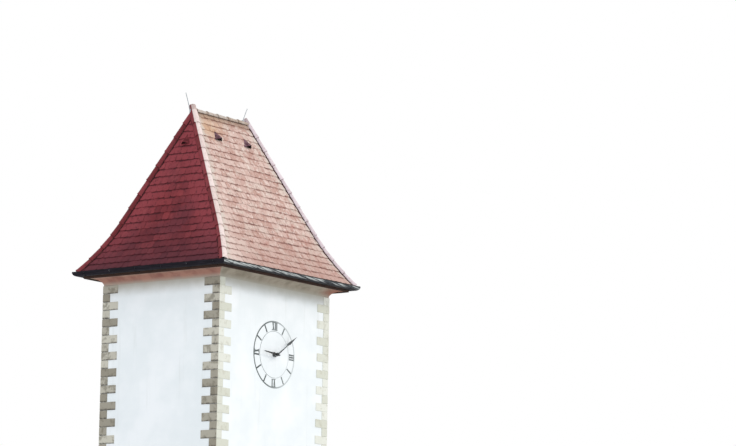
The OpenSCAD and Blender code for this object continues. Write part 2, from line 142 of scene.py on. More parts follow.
def mesh_object(name, points, quads, finish, uv, marks, smooth):
    """One object from a point array and a quad array, with a UV and named marks for each point."""
    mesh = bpy.data.meshes.new(name)
    mesh.vertices.add(len(points))
    mesh.vertices.foreach_set("co", points.astype(np.float32).ravel())
    mesh.loops.add(quads.size)
    mesh.loops.foreach_set("vertex_index", quads.astype(np.int32).ravel())
    mesh.polygons.add(len(quads))
    mesh.polygons.foreach_set("loop_start", np.arange(0, quads.size, 4, dtype=np.int32))
    mesh.polygons.foreach_set("use_smooth", np.full(len(quads), smooth))
    uv_map = mesh.uv_layers.new(name="UVMap")
    uv_map.data.foreach_set("uv", uv[quads.ravel()].astype(np.float32).ravel())
    for mark, values in marks.items():
        attribute = mesh.attributes.new(mark, "FLOAT", "POINT")
        attribute.data.foreach_set("value", values.astype(np.float32).ravel())
    mesh.materials.append(finish)
    mesh.update()
    mesh.validate()
    piece = bpy.data.objects.new(name, mesh)
    bpy.context.scene.collection.objects.link(piece)
    return piece


def shells(name, outer, inner, finish, outer_uv, inner_uv, smooth=False, marks=None):
    """Many closed shells in one object on the tower. outer and inner hold, for each shell, a grid of points
    of its outer and of its inner face, and a rim of quads closes each shell along the grids' borders. A
    shell whose grid runs the wrong way round is turned over, so that all faces point outwards."""
    count, rows, cols, _ = outer.shape
    first = outer[:, 1:, 1:] - outer[:, :-1, :-1]
    second = outer[:, 1:, :-1] - outer[:, :-1, 1:]
    facing = np.cross(first, second).sum((1, 2))
    away = (outer - inner).mean((1, 2))
    wrong = np.sum(facing * away, -1) < 0
    grids = [outer, inner, outer_uv, inner_uv] + list((marks or {}).values())
    grids = [np.broadcast_to(g, (count, rows, cols) + g.shape[3:]).copy() for g in grids]
    for grid in grids:
        grid[wrong] = grid[wrong][:, :, ::-1]
    one = np.concatenate([grid_faces(rows, cols), grid_faces(rows, cols)[:, ::-1] + rows * cols,
                          rim_faces(rows, cols)])
    quads = (one[None] + 2 * rows * cols * np.arange(count)[:, None, None]).reshape(-1, 4)
    points = np.stack(grids[0:2], 1).reshape(-1, 3)
    uv = np.stack(grids[2:4], 1).reshape(-1, 2)
    told = {mark: np.stack([grid, grid], 1) for mark, grid in zip(marks or {}, grids[4:])}
    told["tone"] = np.repeat(rng.random(count), 2 * rows * cols)
    piece = mesh_object(name, points, quads, finish, uv, told, smooth)
    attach(piece, "tower")
    return piece


def unit(v):
    """The vector, or each vector of an array, at length 1."""
    v = np.asarray(v, float)
    return v / np.linalg.norm(v, axis=-1, keepdims=True)


# Roof surface

def flare(kick, z):
    """Kick of the eaves: a parabola from nothing at the flare's height to its full size at the rims."""
    return kick * np.clip((FLARE_H - z) / FLARE_H, 0, None) ** 2


def half_depth(z):
    """Reach of the front and back slopes at a height over the rims."""
    return FRONT_RUN * (ROOF_H - z) / ROOF_H + flare(FLARE_FRONT, z)


def half_width(z):
    """Reach of the two end slopes at a height over the rims."""
    return RIDGE_HALF + END_RUN * (ROOF_H - z) / ROOF_H + flare(FLARE_END, z)


# For each side: its reach, the reach of its neighbours, the way it faces and the way along it
SIDES = {
    "front": (half_depth, half_width, np.array([0.0, -1.0, 0.0]), np.array([1.0, 0.0, 0.0])),
    "back": (half_depth, half_width, np.array([0.0, 1.0, 0.0]), np.array([-1.0, 0.0, 0.0])),
    "left": (half_width, half_depth, np.array([-1.0, 0.0, 0.0]), np.array([0.0, -1.0, 0.0])),
    "right": (half_width, half_depth, np.array([1.0, 0.0, 0.0]), np.array([0.0, 1.0, 0.0])),
}


def slope_profile(reach):
    """The slope's profile from the ridge down: distance along it, level and reach at each step."""
    z = np.linspace(ROOF_H, 0.0, PROFILE_STEPS)
    r = reach(z)
    s = np.concatenate([[0.0], np.cumsum(np.hypot(np.diff(z), np.diff(r)))])
    return s, z, r


def on_slope(side, x, s, height, profile):
    """Point at x along the slope, s down it from the ridge and height out of it: the profile's point at s,
    plus height times the profile's normal there. Past the eaves the profile runs on straight."""
    _, _, out, along = SIDES[side]
    run, z, r = profile
    dz = np.gradient(z, run)
    dr = np.gradient(r, run)
    over = np.clip(s - run[-1], 0, None)
    away = np.interp(s, run, r) + over * dr[-1] - height * np.interp(s, run, dz)
    level = np.interp(s, run, z) + over * dz[-1] + height * np.interp(s, run, dr)
    return x[..., None] * along + away[..., None] * out + (RIM_Z + level)[..., None] * UP


def tile_slope(side, gauge, finish):
    """Plain clay tiles in courses, half bonded. Each tile is a slab: across it the top rises by a camber
    of 1 - u squared, its foot is cut to an arc of u squared, and it leans on the course below. Tiles that
    meet a hip are cut to it."""
    reach, limit, _, _ = SIDES[side]
    profile = slope_profile(reach)
    total = profile[0][-1]
    courses = int(round(total / gauge))
    half = int(math.ceil((limit(0.0) + TILE_W) / TILE_W)) + 1
    course, place = np.meshgrid(np.arange(courses), np.arange(-half, half + 1), indexing="ij")
    centre = (place + 0.5 * (course % 2)) * TILE_W
    foot = total - EAVE_BACK - course * total / courses
    bottom = np.interp(foot, profile[0], profile[1])
    keep = (np.abs(centre) - 0.5 * TILE_W < limit(bottom)) & (foot > LEAST_SHOWN)
    count = int(keep.sum())
    centre = (centre[keep] + rng.normal(0, TILE_SIDEWAYS, count))[:, None, None]
    foot = (foot[keep] + rng.normal(0, TILE_DOWN, count))[:, None, None]
    lift = rng.normal(0, TILE_OUT, count)[:, None, None]
    skew = rng.normal(0, TILE_ASKEW, count)[:, None, None]
    t, u = np.meshgrid(TILE_ROWS, np.linspace(-1, 1, 7), indexing="ij")
    arc = TILE_ARC * u ** 2 * np.clip((t - ARC_FROM) / (1 - ARC_FROM), 0, 1)
    s = np.clip(foot - TILE_L * (1 - t) - arc + skew * u, RIDGE_CUT, None)
    edge = limit(np.interp(s, profile[0], profile[1])) - HIP_CUT
    x = centre + 0.5 * (TILE_W - TILE_GAP) * u + skew * (t - 0.5)
    x = np.clip(x, -edge, edge)
    rise = TILE_BED + TILE_LEAN * t + lift * t + TILE_CAMBER * (1 - u ** 2)
    outer = on_slope(side, x, s, rise + TILE_T, profile)
    inner = on_slope(side, x, s, rise, profile)
    up = TILE_L * (1 - t) + 0 * x
    across = 0.5 + 0.5 * u + 0 * x
    # The clock side and the right are pale, painted as lit and bleached; the other sides deep red, painted
    # in shade
    lit_and_bleached = np.full((1, 1, 1), PALE if side in ("front", "right") else RED)
    shells(side + "_roof_tiles", outer, inner, finish, np.stack([across, up], -1),
           np.stack([across, -TILE_T + 0 * x], -1), False, {"to_hip": edge - np.abs(x), "lit_and_bleached": lit_and_bleached})


# Cap tiles

FRONT_NORMAL = unit([0, -ROOF_H, FRONT_RUN])
END_NORMAL = unit([-ROOF_H, 0, END_RUN])
HIP_NORMAL = unit(FRONT_NORMAL + END_NORMAL)
CORNERS = {"front_left": (1, 1), "front_right": (-1, 1), "back_left": (1, -1), "back_right": (-1, -1)}


def hip_line(z):
    """The front left hip's line at a height over the rims."""
    z = np.asarray(z, float)
    return np.stack([-half_width(z), -half_depth(z), RIM_Z + z], -1)


def cap_shells(low, high, count, crown, tail, foot_r=CAP_R):
    """Cap tiles from low to high. A cap is a tapered half pipe: at t along it and angle a round it the
    point is the axis plus radius(t) times the direction at a, and its foot swells into a rounded lip."""
    run = high - low
    length = np.linalg.norm(run)
    axis = run / length
    crown = unit(crown - np.dot(crown, axis) * axis)
    side = np.cross(axis, crown)
    gauge = length / count
    t, a = np.meshgrid(LIP_AT, np.radians(np.linspace(-CAP_ANGLE, CAP_ANGLE, 17)), indexing="ij")
    radius = foot_r - CAP_TAPER * t + LIP_SWELL[:, None]
    reach = np.full(count, gauge + CAP_LAP)
    reach[-1] = gauge + tail
    foot = np.arange(count) * gauge + rng.normal(0, CAP_UNEVEN, count)
    along = foot[:, None, None] + reach[:, None, None] * t
    around = np.cos(a)[..., None] * crown + np.sin(a)[..., None] * side
    outer = low + along[..., None] * axis + radius[..., None] * around
    inner = low + along[..., None] * axis + (radius - CAP_T)[..., None] * around
    up = reach[:, None, None] * t
    across = a * CAP_R + 0 * up
    return outer, inner, np.stack([across, up], -1), np.stack([across, 0 * up - CAP_T], -1)


def hip_caps(corner, finish):
    """The caps of one hip: the front left hip's shells, mirrored where the hip lies."""
    axis = hip_line(FLARE_H * np.arange(HIP_CAPS_FLARE + 1) / HIP_CAPS_FLARE) - CAP_SINK * HIP_NORMAL
    parts = [cap_shells(low, high, 1, HIP_NORMAL, CAP_LAP) for low, high in zip(axis[:-1], axis[1:])]
    top = hip_line(ROOF_H) - CAP_SINK * HIP_NORMAL
    rise = FRONT_RISE if corner.startswith("front") else BACK_RISE
    parts.append(cap_shells(axis[-1], top, HIP_CAPS_STEEP, HIP_NORMAL, rise))
    outer, inner, outer_uv, inner_uv = (np.concatenate(group) for group in zip(*parts))
    turn = np.array(CORNERS[corner] + (1,))
    # The near hip is pale on the side of the clock, painted as lit and bleached, and a little further round
    # on its top cap. The right hips are rosy white, painted as lit, and the others slope red in painted
    # shade
    lit_and_bleached = np.full(outer.shape[:3], ROSY if corner.endswith("right") else RED)
    if corner == "front_left":
        pale_from = np.full((len(outer), 1, 1), PALE_FROM)
        pale_from[-1] = TOP_PALE_FROM
        lit_and_bleached = np.clip(0.5 + (outer_uv[..., 0] - pale_from) / PALE_BLUR, RED, PALE)
    piece = shells(f"hip_caps_{corner}_tiles", outer * turn, inner * turn, finish, outer_uv,
                   inner_uv, True, {"lit_and_bleached": lit_and_bleached})
    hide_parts("hip_caps_" + corner)


def ridge_cap_row(finish):
    """The caps along the ridge, laid from one end to the other."""
    end = np.array([RIDGE_HALF - RIDGE_IN, 0, 0])
    middle = (RIM_Z + ROOF_H - RIDGE_SINK) * UP
    outer, inner, outer_uv, inner_uv = cap_shells(middle - end, middle + end, RIDGE_CAPS, UP, 0.0, RIDGE_R)
    piece = shells("ridge_cap_tiles", outer, inner, finish, outer_uv, inner_uv, True,
                   {"lit_and_bleached": np.full((1, 1, 1), CREAM)})
    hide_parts("ridge_caps")


def hip_shadow_mortar(finish):
    """Mortar along both sides of each hip, coloured with painted shadow, shade and light: a low hump of 1 -
    u squared, carried down the hip beside the caps at a fixed offset within the slope, with a wavering edge."""
    z = np.linspace(ROOF_H - MORTAR_TOP, MORTAR_FOOT, MORTAR_STEPS)
    line = hip_line(z)
    tangent = unit(np.gradient(line, axis=0))
    u = np.linspace(-1, 1, 7)
    outers, inners, mortar_light = [], [], []
    for reach, face, inward in ((half_depth, [0, -1, 0], [1, 0, 0]), (half_width, [-1, 0, 0], [0, 1, 0])):
        lean = -np.gradient(reach(z), z)
        normal = unit(np.array(face) + lean[:, None] * UP)
        side = np.cross(normal, tangent)
        side = side * np.sign(np.sum(side * inward, -1, keepdims=True))
        # The near hip's mortar is painted pale as lit on the clock side and red in painted shade on the
        # flank; the other hips' is painted dark as their caps' shadow
        near_side = MORTAR_LIT if reach is half_depth else MORTAR_SHADED
        for corner, turn in CORNERS.items():
            mortar_light.append(near_side if corner == "front_left" else MORTAR_SHADOWED)
            wave = MORTAR_WAVE * np.sin(z * MORTAR_TURN + rng.random() * MORTAR_SHIFT)
            waver = MORTAR_OFF + wave + rng.normal(0, MORTAR_ROUGH_EDGE, len(z))
            offset = waver[:, None] + MORTAR_HALF * u
            rise = MORTAR_RISE * (1 - u ** 2) + rng.normal(0, MORTAR_ROUGH_TOP, (len(z), len(u)))
            base = line[:, None] + offset[..., None] * side[:, None]
            outers.append((base + (MORTAR_OUT + rise[..., None]) * normal[:, None]) * (turn + (1,)))
            inners.append((base - MORTAR_DEEP * normal[:, None]) * (turn + (1,)))
    outer, inner = np.stack(outers), np.stack(inners)
    uv = np.broadcast_to(np.stack(np.meshgrid(z, u, indexing="ij"), -1), outer.shape[:3] + (2,))
    shells("hip_shadow_mortar", outer, inner, finish, uv, uv, True,
           {"mortar_light": np.array(mortar_light)[:, None, None]})


# Vents

def vent_throats(finish):
    """The dark mouths of the vent hoods, near black sheets that stand for the shade inside: across u and up
    v a triangle, half width (1 - v) u and height v, set back under each hood and square to the slope."""
    share = 1 - (THROAT_BACK + 2 * VENT_T) / VENT_L
    wide = 0.5 * VENT_W * share - THROAT_PLAY
    high = VENT_OUT * share - VENT_T - THROAT_PLAY
    v, u = np.meshgrid(np.linspace(0, THROAT_TOP, 5), np.linspace(-1, 1, 9), indexing="ij")
    outers, inners = [], []
    spots = [("front", x, VENT_DROP) for x in (-0.5 * VENT_GAP, 0.5 * VENT_GAP)]
    spots += [("back", x, VENT_DROP) for x in (-0.5 * VENT_GAP, 0.5 * VENT_GAP)]
    spots += [("left", 0.0, VENT_DROP_END), ("right", 0.0, VENT_DROP_END)]
    for side, x, drop in spots:
        reach, _, out, along = SIDES[side]
        slope = (reach(0.9 * ROOF_H) - reach(ROOF_H)) / (0.1 * ROOF_H)
        foot = x * along + reach(ROOF_H - drop) * out + (RIM_Z + ROOF_H - drop) * UP
        upward = unit(UP - slope * out)
        normal = unit(out + slope * UP)
        sheet = foot + (wide * u * (1 - v))[..., None] * along + (high * v)[..., None] * normal
        ripple = THROAT_RIPPLE * np.cos(3 * math.pi * u)[..., None] * upward
        outers.append(sheet + THROAT_BACK * upward + ripple)
        inners.append(sheet + (THROAT_BACK + THROAT_T) * upward)
    outer, inner = np.stack(outers), np.stack(inners)
    uv = np.broadcast_to(np.stack([u, v], -1), outer.shape[:3] + (2,))
    shells("vent_throats", outer, inner, finish, uv, uv)


# Corner stones

def corner_stones(corner, finish):
    """Quoin stones that turn the corner, long and short by turns. The outer face follows an L from the
    end on the clock side to the end on the flank, and its edges are rounded off toward the joints."""
    height = COVE_Z / QUOIN_COURSES
    index = np.arange(QUOIN_COURSES)
    long_front = (QUOIN_COURSES - index) % 2 == 0
    front = np.where(long_front, QUOIN_LONG, QUOIN_SHORT) + rng.normal(0, STONE_UNEVEN, QUOIN_COURSES)
    flank = np.where(long_front, QUOIN_SHORT, QUOIN_LONG) + rng.normal(0, STONE_UNEVEN, QUOIN_COURSES)
    # Distance along the L: minus is on the clock side, plus on the flank
    ends = np.array([-1.0, -1.0, -0.5, -0.12, 0.0, 0.12, 0.5, 1.0, 1.0])
    inset = np.array([0.0, STONE_EDGE, 0.0, 0.0, 0.0, 0.0, 0.0, -STONE_EDGE, 0.0])
    along = ends * np.where(ends < 0, front[:, None], flank[:, None]) + inset
    column = np.array([STONE_DROP, 1, 1, 1, 1, 1, 1, 1, STONE_DROP])
    row = np.array([STONE_DROP, 1, 1, 1, STONE_DROP])
    inner_edge = STONE_JOINT + STONE_EDGE
    inside = np.array([STONE_JOINT, inner_edge, 0.0, -inner_edge, -STONE_JOINT])
    z = (index[:, None] + np.array([0.0, 0.0, 0.5, 1.0, 1.0])) * height + inside
    shape = (QUOIN_COURSES, len(row), len(ends))
    a = np.broadcast_to(along[:, None, :], shape)
    level = np.broadcast_to(z[:, :, None], shape)
    proud = np.broadcast_to(QUOIN_PROUD * np.minimum(column, row[:, None]), shape)
    turn = np.array(CORNERS[corner] + (1,))

    def face(stand):
        x = np.where(a < 0, -a, -stand)
        y = np.where(a > 0, a, -stand)
        return np.stack([x - HALF_W, y - HALF_D, level], -1) * turn

    uv = np.stack([a, level], -1)
    # The faces painted as lit: the clock side of the front corners and the flank of the right ones
    lit = np.where(a < 0, float(corner.startswith("front")), float(corner.endswith("right")))
    piece = shells(f"quoins_{corner}_stones", face(proud), face(-STONE_DEEP + 0 * proud), finish,
                   uv, uv, False, {"lit": lit})
    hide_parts("quoins_" + corner)


# Materials

def linear(code):
    """An sRGB hex colour as the linear colour that Blender works in."""
    parts = [int(code[i:i + 2], 16) / 255 for i in (0, 2, 4)]
    return tuple(c / 12.92 if c <= 0.04045 else ((c + 0.055) / 1.055) ** 2.4 for c in parts) + (1.0,)


def add(tree, kind, inputs=None, out=None, **settings):
    """Adds one node and gives back its first live output, or the one named. inputs sets or links its live
    sockets, by name or number, and the settings are the node's own."""
    node = tree.nodes.new("ShaderNode" + kind)
    for key, value in settings.items():
        setattr(node, key, value)
    for key, value in (inputs or {}).items():
        named = [s for i, s in enumerate(node.inputs) if s.enabled and key in (i, s.name)]
        if isinstance(value, bpy.types.NodeSocket):
            tree.links.new(value, named[0])
        else:
            named[0].default_value = value
    live = [s for s in node.outputs if s.enabled and out in (None, s.name)]
    return live[0] if live else node


def start(name):
    """An empty material, its node tree, and the surface's own coordinates in metres."""
    finish = bpy.data.materials.new(name)
    finish.use_nodes = True
    finish.node_tree.nodes.clear()
    return finish, finish.node_tree, add(finish.node_tree, "TexCoord", out="Object")


def close(tree, colour, height, depth_mm, shader):
    """Ends a material: relief of depth_mm from height, and a shader with its own constants."""
    relief = add(tree, "Bump", {"Height": height, "Distance": depth_mm / 1000, "Strength": 0.6})
    surface = add(tree, "BsdfPrincipled", {"Base Color": colour, "Normal": relief, **shader})
    add(tree, "OutputMaterial", {"Surface": surface})


def layer(tree, under, paint, marks, low, high, most=1.0):
    """A coat of the colour paint over under: none where marks are below low, and most of it above high."""
    share = add(tree, "MapRange", {"Value": marks, "From Min": low, "From Max": high, "To Max": most},
                interpolation_type="SMOOTHSTEP")
    return add(tree, "Mix", {"Factor": share, "A": under, "B": paint}, data_type="RGBA")


def patches(tree, place, under, paint, size_mm, low, high, most=1.0, drawn=(1.0, 1.0, 1.0)):
    """A coat of paint in cloudy patches about size_mm across, drawn out along an axis where drawn is
    under 1. The clouds run from 0 to 1 about 0.5, and low and high say where the patches start and end."""
    spread = add(tree, "Mapping", {"Vector": place, "Scale": tuple(1000 / size_mm * d for d in drawn)})
    clouds = add(tree, "TexNoise", {"Vector": spread, "Scale": 1.0, "Detail": 3.0, "Roughness": 0.55})
    return layer(tree, under, paint, clouds, low, high, most)


def painted_light_side(tree):
    """How far a surface faces the painted light, from about -1 on the left flank, painted in shade, to 1 on
    the right, painted as lit.
    """
    normal = add(tree, "NewGeometry", out="Normal")
    return add(tree, "VectorMath", {0: normal, 1: PAINTED_LIGHT_FROM}, operation="DOT_PRODUCT")


# Fired clay tiles: beige pink on the clock side and the right, partly bleached and partly painted as lit,
# palest toward the near hip, and deep wine red in painted shade on the other sides, with painted shadow and
# dirt under each course, red runs, ochre lichen at the left below the ridge, grey lichen beside the hips and
# a brown stain along the ridge
def clay_tile():
    finish, tree, place = start("fired_clay_tiles")
    tone = add(tree, "Attribute", out="Fac", attribute_name="tone")
    lit_and_bleached = add(tree, "Attribute", out="Fac", attribute_name="lit_and_bleached")
    to_hip = add(tree, "Attribute", out="Fac", attribute_name="to_hip")
    level = add(tree, "SeparateXYZ", {"Vector": place}, "Z")
    to_right = level.node.outputs["X"]
    across = add(tree, "SeparateXYZ", {"Vector": add(tree, "UVMap")}, "X")
    up = across.node.outputs["Y"]
    shade_side_tone = layer(tree, linear("69242A"), linear("863438"), tone, 0.0, 1.0)
    shade_side_tone = patches(tree, place, shade_side_tone, linear("5C2A33"), 900, 0.46, 0.66, 0.6)
    shade_side_tone = layer(tree, linear("8C3B41"), shade_side_tone, to_hip, 0.15, 1.10)
    shade_side_tone = patches(tree, place, shade_side_tone, linear("964648"), 350, 0.54, 0.76, 0.55)
    shade_side_tone = patches(tree, place, shade_side_tone, linear("451B22"), 80, 0.54, 0.74, 0.60)
    shade_side_tone = layer(tree, linear("50242E"), shade_side_tone, level, RIM_Z - 0.5, RIM_Z + 1.4)
    pale = layer(tree, linear("BE998C"), linear("D5B9AD"), tone, 0.0, 1.0)
    pale = patches(tree, place, pale, linear("D6C4B7"), 300, 0.48, 0.66, 0.75)
    pale = patches(tree, place, pale, linear("BC8C80"), 210, 0.54, 0.70, 0.60)
    pale = patches(tree, place, pale, linear("9C665A"), 120, 0.56, 0.72, 0.50, (1.0, 1.0, 0.14))
    pale = patches(tree, place, pale, linear("E6D6CC"), 80, 0.52, 0.70, 0.70)
    pale = patches(tree, place, pale, linear("966558"), 65, 0.56, 0.72, 0.60)
    pale = layer(tree, linear("AE867A"), pale, level, RIM_Z - 1.2, RIM_Z + 1.6)
    pale = layer(tree, pale, linear("E6D3C8"), to_right, -0.9, -2.5, 0.70)
    high = add(tree, "MapRange", {"Value": level, "From Min": RIM_Z + 3.0, "From Max": RIM_Z + 3.9})
    left = add(tree, "MapRange", {"Value": to_right, "From Min": 0.5, "From Max": -0.9})
    clouds = add(tree, "TexNoise", {"Vector": place, "Scale": 1000 / 420, "Detail": 3.0})
    ochre = add(tree, "Math", {0: high, 1: clouds}, operation="MULTIPLY")
    ochre = add(tree, "Math", {0: ochre, 1: left}, operation="MULTIPLY")
    pale = layer(tree, pale, linear("C9A277"), ochre, 0.06, 0.32, 0.55)
    near = add(tree, "MapRange", {"Value": to_hip, "From Min": 0.42, "From Max": 0.08})
    spots = add(tree, "TexNoise", {"Vector": place, "Scale": 1000 / 160, "Detail": 3.0})
    lichen = add(tree, "Math", {0: near, 1: spots}, operation="MULTIPLY")
    pale = layer(tree, pale, linear("CFC4B8"), lichen, 0.15, 0.45, 0.8)
    pale = layer(tree, pale, linear("9C8370"), level, RIM_Z + ROOF_H - 0.28, RIM_Z + ROOF_H - 0.08, 0.7)
    # The pale copy is painted as lit and bleached, the red copy is painted in shade
    colour = layer(tree, shade_side_tone, pale, lit_and_bleached, 0.4, 0.6)
    # Painted shadow and dirt under the foot of each course, dark red in painted shade and brown where
    # painted as lit:
    # it comes and goes in clouds, and is ragged at its edge
    grit = add(tree, "TexNoise", {"Vector": place, "Scale": 1000 / 55, "Detail": 2.0})
    ragged = add(tree, "Math", {0: grit, 1: 0.06, 2: up}, operation="MULTIPLY_ADD")
    dirt_and_shade = layer(tree, linear("3E161D"), linear("80544A"), lit_and_bleached, 0.4, 0.6)
    shaded_and_soiled_course = layer(tree, colour, dirt_and_shade, ragged, 0.175, 0.218, 0.85)
    gaps = add(tree, "TexNoise", {"Vector": place, "Scale": 1000 / 260, "Detail": 3.0})
    colour = layer(tree, colour, shaded_and_soiled_course, gaps, 0.36, 0.58)
    edge = add(tree, "Math", {0: across, 1: 0.5}, operation="SUBTRACT")
    edge = add(tree, "Math", {0: edge}, operation="ABSOLUTE")
    joints = add(tree, "Math", {0: edge, 1: grit}, operation="MULTIPLY")
    colour = layer(tree, colour, dirt_and_shade, joints, 0.255, 0.300, 0.55)
    fine = add(tree, "TexNoise", {"Vector": place, "Scale": 1000 / 14, "Detail": 3.0})
    close(tree, colour, fine, 2.0, {"Roughness": 0.85, "IOR": 1.5, "Specular IOR Level": 0.25})
    return finish


# Fired clay of the cap tiles: chalky pink white where it is painted as lit and bleached, rosy white painted
# as lit on the right hips, slope red in painted shade elsewhere, with grey lichen and a faint stain at each
# lap; cream and beige with lichen on the ridge
def cap_clay():
    finish, tree, place = start("chalky_cap_clay")
    tone = add(tree, "Attribute", out="Fac", attribute_name="tone")
    lit_and_bleached = add(tree, "Attribute", out="Fac", attribute_name="lit_and_bleached")
    up = add(tree, "SeparateXYZ", {"Vector": add(tree, "UVMap")}, "Y")
    shade_side_tone = layer(tree, linear("6F262A"), linear("85363B"), tone, 0.0, 1.0)
    shade_side_tone = patches(tree, place, shade_side_tone, linear("4C1E28"), 120, 0.50, 0.75, 0.5)
    pale = layer(tree, linear("DEC9C1"), linear("ECDAD3"), tone, 0.0, 1.0)
    pale = patches(tree, place, pale, linear("C2A99E"), 60, 0.52, 0.66, 0.45)
    right = layer(tree, linear("D2C2C5"), linear("E0D1D3"), tone, 0.0, 1.0)
    right = patches(tree, place, right, linear("A8918F"), 60, 0.50, 0.66, 0.5)
    ridge = patches(tree, place, linear("BDB1A6"), linear("A58D79"), 130, 0.45, 0.62, 0.8)
    ridge = patches(tree, place, ridge, linear("7E7264"), 70, 0.55, 0.70, 0.6)
    # Red copy in painted shade, pink white and rosy white copies painted as lit, cream on the ridge
    colour = layer(tree, shade_side_tone, pale, lit_and_bleached, 0.3, 0.7)
    colour = layer(tree, colour, right, lit_and_bleached, 1.1, 1.3)
    colour = layer(tree, colour, ridge, lit_and_bleached, 1.6, 1.8)
    grit = add(tree, "TexNoise", {"Vector": place, "Scale": 1000 / 50, "Detail": 2.0})
    ragged = add(tree, "Math", {0: grit, 1: 0.05, 2: up}, operation="MULTIPLY_ADD")
    colour = layer(tree, colour, linear("7A5650"), ragged, 0.410, 0.450, 0.40)
    close(tree, colour, grit, 2.0, {"Roughness": 0.8, "IOR": 1.5, "Specular IOR Level": 0.3})
    return finish


# Lime mortar beside the caps: painted dark brown as the caps' shadow, red as painted shade on the shaded
# side of the near hip, and pale as painted light on its other side
def mortar_with_painted_shade():
    finish, tree, place = start("lime_mortar_with_painted_shade")
    mortar_light = add(tree, "Attribute", out="Fac", attribute_name="mortar_light")
    in_shadow = patches(tree, place, linear("331619"), linear("57302E"), 45, 0.45, 0.65)
    shaded_tint = patches(tree, place, linear("8A3A40"), linear("33141A"), 110, 0.42, 0.58)
    lit_side_coat = patches(tree, place, linear("D9CDC4"), linear("A08878"), 45, 0.50, 0.66)
    colour = layer(tree, in_shadow, shaded_tint, mortar_light, 0.2, 0.4)
    colour = layer(tree, colour, lit_side_coat, mortar_light, 0.6, 0.8)
    crumbs = add(tree, "TexNoise", {"Vector": place, "Scale": 1000 / 18, "Detail": 4.0})
    close(tree, colour, crumbs, 4.0, {"Roughness": 0.95, "IOR": 1.5, "Specular IOR Level": 0.2})
    return finish


# Hoods of the vent tiles: the same clay in one piece, a dark and a second tone in painted shade, a paler
# pair painted as lit toward the painted light, and near black where it faces down, as soot and painted shade
# inside and on the rim of the mouth
def hood_clay(name, dark, shaded_tint, chalky, chalk):
    finish, tree, place = start(name)
    under = add(tree, "SeparateXYZ", {"Vector": add(tree, "NewGeometry", out="Normal")}, "Z")
    shade_side_tone = patches(tree, place, linear(dark), linear(shaded_tint), 90, 0.40, 0.65)
    pale = patches(tree, place, linear(chalky), linear(chalk), 50, 0.35, 0.65)
    colour = layer(tree, shade_side_tone, pale, painted_light_side(tree), -0.30, 0.05)
    # Near black where the hood faces down: soot and painted shade
    colour = layer(tree, linear("0A0506"), colour, under, -0.50, -0.20)
    fine = add(tree, "TexNoise", {"Vector": place, "Scale": 1000 / 14, "Detail": 3.0})
    close(tree, colour, fine, 1.5, {"Roughness": 0.85, "IOR": 1.5, "Specular IOR Level": 0.25})
    return finish


# Soot and painted shade behind the vent mouths: near black with a little brown dust
def vent_soot_and_shade():
    finish, tree, place = start("sooty_vent_throat_in_painted_shade")
    colour = patches(tree, place, linear("080405"), linear("1A0C0C"), 40, 0.4, 0.7)
    dust = add(tree, "TexNoise", {"Vector": place, "Scale": 1000 / 12, "Detail": 3.0})
    close(tree, colour, dust, 1.0, {"Roughness": 0.95, "IOR": 1.5, "Specular IOR Level": 0.1})
    return finish


# Lime render, floated by hand: chalk white with a faint cloud and rain runs, grey brown just below the cove
# as painted shade of the eaves broken up by stains, and splashed at the foot
def lime_render():
    finish, tree, place = start("lime_render")
    level = add(tree, "SeparateXYZ", {"Vector": place}, "Z")
    colour = patches(tree, place, linear("EDF1F0"), linear("F6F8F7"), 900, 0.35, 0.70)
    colour = patches(tree, place, colour, linear("D5D8D2"), 160, 0.55, 0.80, 0.30, (1.0, 1.0, 0.08))
    runs = add(tree, "TexNoise", {"Vector": place, "Scale": 1000 / 300, "Detail": 3.0})
    # Grey brown below the cove: painted shade of the eaves with stains
    shade_and_stain = add(tree, "Math", {0: runs, 1: 0.10, 2: level}, operation="MULTIPLY_ADD")
    colour = layer(tree, colour, linear("B0AB9C"), shade_and_stain, COVE_Z - 0.30, COVE_Z + 0.10, 0.9)
    splash = add(tree, "MapRange", {"Value": level, "From Min": 1.4, "From Max": 0.1})
    blots = add(tree, "TexNoise", {"Vector": place, "Scale": 1000 / 240, "Detail": 4.0})
    wet = add(tree, "Math", {0: splash, 1: blots}, operation="MULTIPLY")
    colour = layer(tree, colour, linear("B3AEA2"), wet, 0.10, 0.55, 0.7)
    # The grit is 4 mm in life and drawn 22 mm, so that it shows
    grit = add(tree, "TexNoise", {"Vector": place, "Scale": 1000 / 22, "Detail": 3.0})
    close(tree, colour, grit, 2.0, {"Roughness": 0.9, "IOR": 1.5, "Specular IOR Level": 0.2})
    return finish


# The same render on the cove, darker toward the gutter as painted shade and stain: grey brown where it faces
# the painted light, red brown in painted shade on the other side and toward the right end, and paler toward
# the wall
def cove_render():
    finish, tree, place = start("lime_cove_painted_shade_and_stain")
    level = add(tree, "SeparateXYZ", {"Vector": place}, "Z")
    red = patches(tree, place, linear("95675A"), linear("AB7F6E"), 300, 0.35, 0.65)
    grey = patches(tree, place, linear("8E8473"), linear("A69B8A"), 300, 0.35, 0.65)
    # Grey brown toward the painted light, red brown in painted shade
    band = layer(tree, red, grey, painted_light_side(tree), -0.40, 0.10)
    # Red brown toward the right end: painted shade
    band = layer(tree, band, linear("9A6C5A"), level.node.outputs["X"], HALF_W - 0.60, HALF_W + 0.10)
    clouds = add(tree, "TexNoise", {"Vector": place, "Scale": 1000 / 300, "Detail": 3.0})
    shade_and_stain = add(tree, "Math", {0: clouds, 1: 0.06, 2: level}, operation="MULTIPLY_ADD")
    colour = layer(tree, linear("B9B4A6"), band, shade_and_stain, COVE_Z - 0.02, COVE_Z + 0.14)
    grit = add(tree, "TexNoise", {"Vector": place, "Scale": 1000 / 22, "Detail": 3.0})
    close(tree, colour, grit, 2.0, {"Roughness": 0.9, "IOR": 1.5, "Specular IOR Level": 0.2})
    return finish


